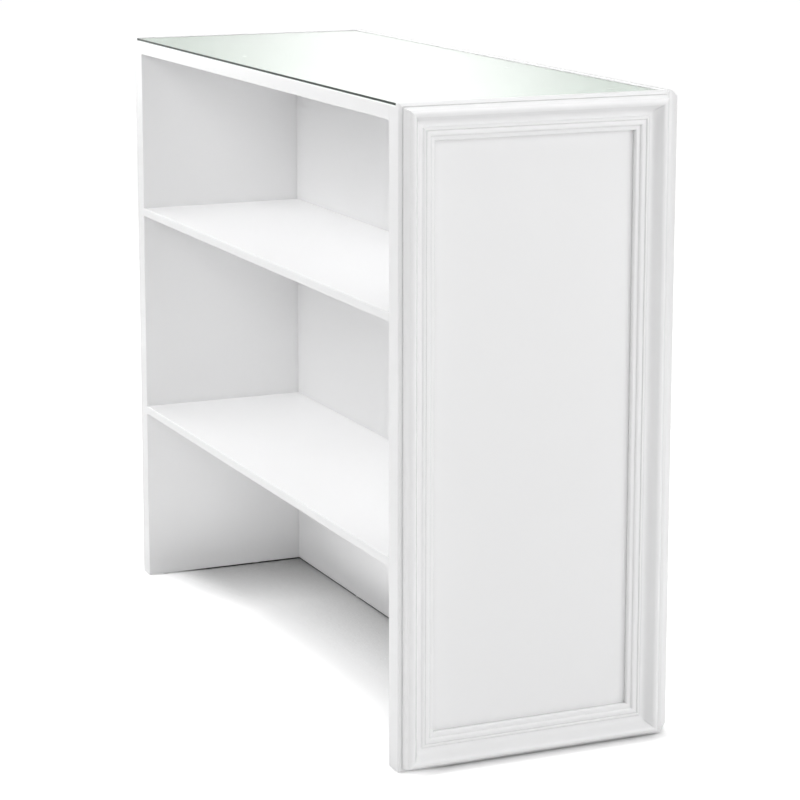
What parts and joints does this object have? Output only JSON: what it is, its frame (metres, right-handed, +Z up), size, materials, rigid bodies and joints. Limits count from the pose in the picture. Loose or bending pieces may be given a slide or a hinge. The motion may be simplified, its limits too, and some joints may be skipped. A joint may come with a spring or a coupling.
{
  "type": "bar counter",
  "caption": "Free-standing white bar counter with open shelves on the serving side, mitred moulding frames on the ends and customer side, and a lift-off glass top.",
  "frame": {"origin": "on the floor, under the middle of the whole counter", "axes": "+X along the counter, -Y the serving side with the shelves, +Y the customer side, +Z up"},
  "size_m": [1.352, 0.512, 1.109],
  "materials": {
    "painted_board": "white satin paint sprayed over fibreboard",
    "painted_moulding": "white satin paint over machined wooden moulding",
    "bare_board": "bare fibreboard, sanded",
    "clear_glass": "clear float glass with ground, dark green edges",
    "clear_pad": "clear self-adhesive silicone",
    "zinc_screw": "bright zinc plate",
    "glide_plastic": "grey moulded plastic"
  },
  "bodies": {
    "counter": {"assembly_screws": "zinc_screw", "customer_field": "painted_board", "customer_moulding_bottom": "painted_moulding", "customer_moulding_first": "painted_moulding", "customer_moulding_last": "painted_moulding", "customer_moulding_top": "painted_moulding", "customer_panel": "painted_board", "customer_strip_bottom": "painted_board", "customer_strip_first": "painted_board", "customer_strip_last": "painted_board", "customer_strip_top": "painted_board", "end_left_field": "painted_board", "end_left_moulding_bottom": "painted_moulding", "end_left_moulding_first": "painted_moulding", "end_left_moulding_last": "painted_moulding", "end_left_moulding_top": "painted_moulding", "end_left_strip_bottom": "painted_board", "end_left_strip_first": "painted_board", "end_left_strip_last": "painted_board", "end_left_strip_top": "painted_board", "end_panel_left": "painted_board", "end_panel_right": "painted_board", "end_right_field": "painted_board", "end_right_moulding_bottom": "painted_moulding", "end_right_moulding_first": "painted_moulding", "end_right_moulding_last": "painted_moulding", "end_right_moulding_top": "painted_moulding", "end_right_strip_bottom": "painted_board", "end_right_strip_first": "painted_board", "end_right_strip_last": "painted_board", "end_right_strip_top": "painted_board", "glass_pads": "clear_pad", "glides": "glide_plastic", "hollow_rib_left": "bare_board", "hollow_rib_right": "bare_board", "lower_shelf": "painted_board", "shelf_wall": "painted_board", "top_board": "painted_board", "upper_shelf": "painted_board"},
    "glass": {"glass_top": "clear_glass"}
  },
  "joints": [
    {"name": "glass_lift", "type": "slide", "parent": "counter", "child": "glass", "axis": [0, 0, 1], "range_m": [0, 0.2]}
  ]
}
